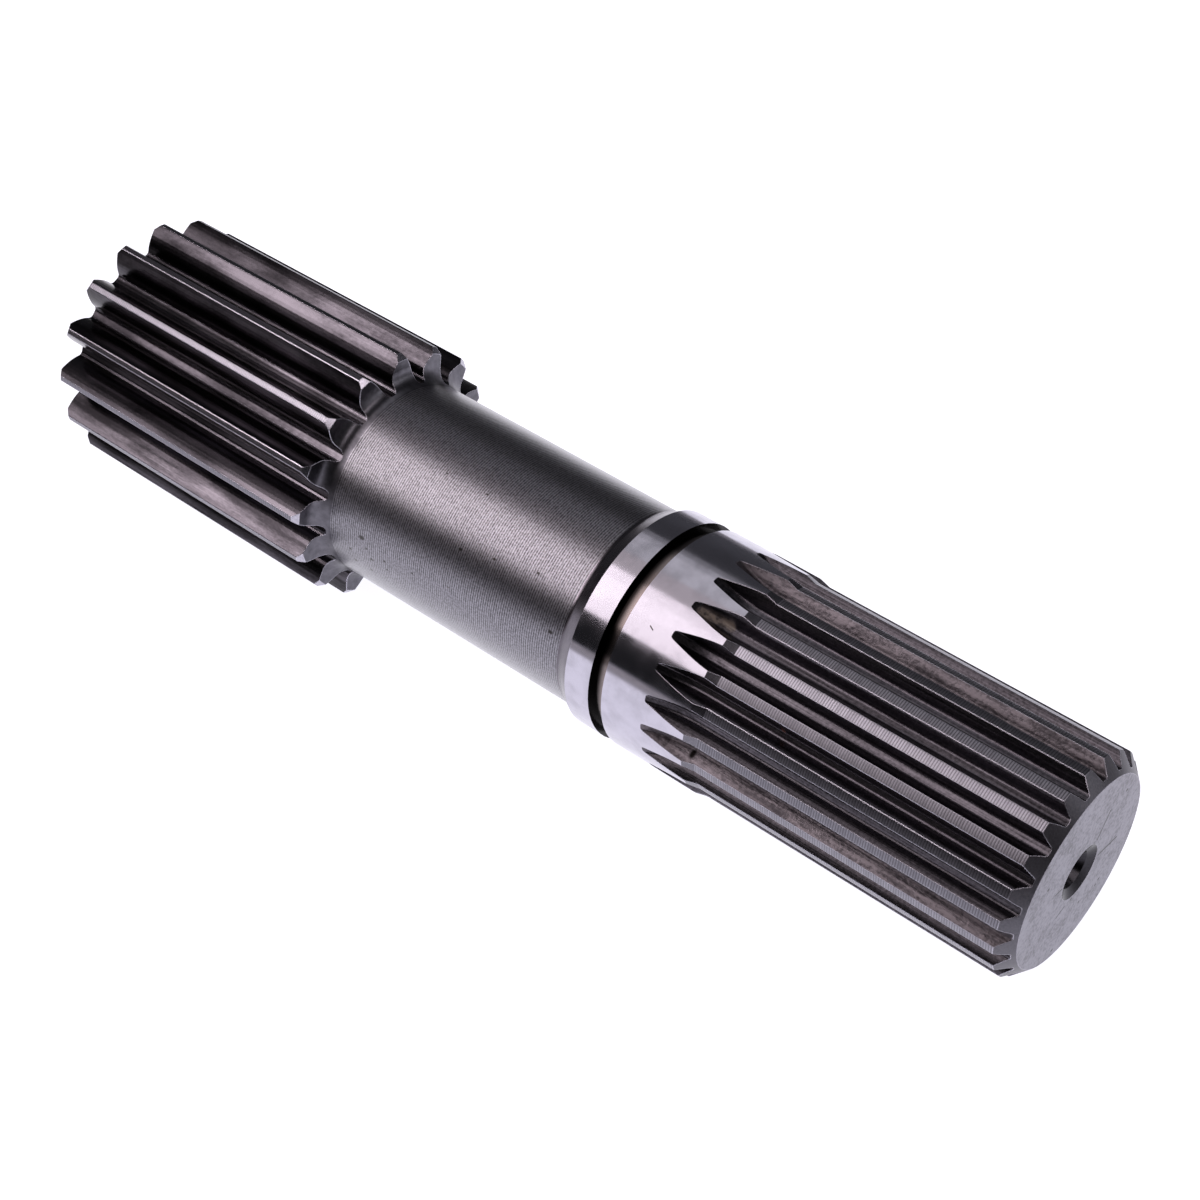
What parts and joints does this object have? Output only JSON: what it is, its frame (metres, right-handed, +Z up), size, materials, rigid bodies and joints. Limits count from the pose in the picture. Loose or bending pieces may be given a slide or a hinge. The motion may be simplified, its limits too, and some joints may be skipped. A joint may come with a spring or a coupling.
{
  "type": "sun gear shaft",
  "caption": "One-piece steel sun gear shaft: spur gear at one end, plain shank, polished bearing journal with a ring groove, and an involute spline with a centre hole at the other end.",
  "frame": {"origin": "on the shaft's axis in the middle of the clean bearing seat, between the spline's run-outs and the ring groove", "axes": "+X along the shaft towards the spline end, +Z up with the shaft lying on two gear teeth"},
  "size_m": [0.256, 0.0594, 0.0594],
  "materials": {
    "steel": "turned satin shank, polished journal, hobbed teeth with a dark satin skin"
  },
  "bodies": {
    "root": {"sun_gear_shaft": "steel"}
  },
  "joints": []
}
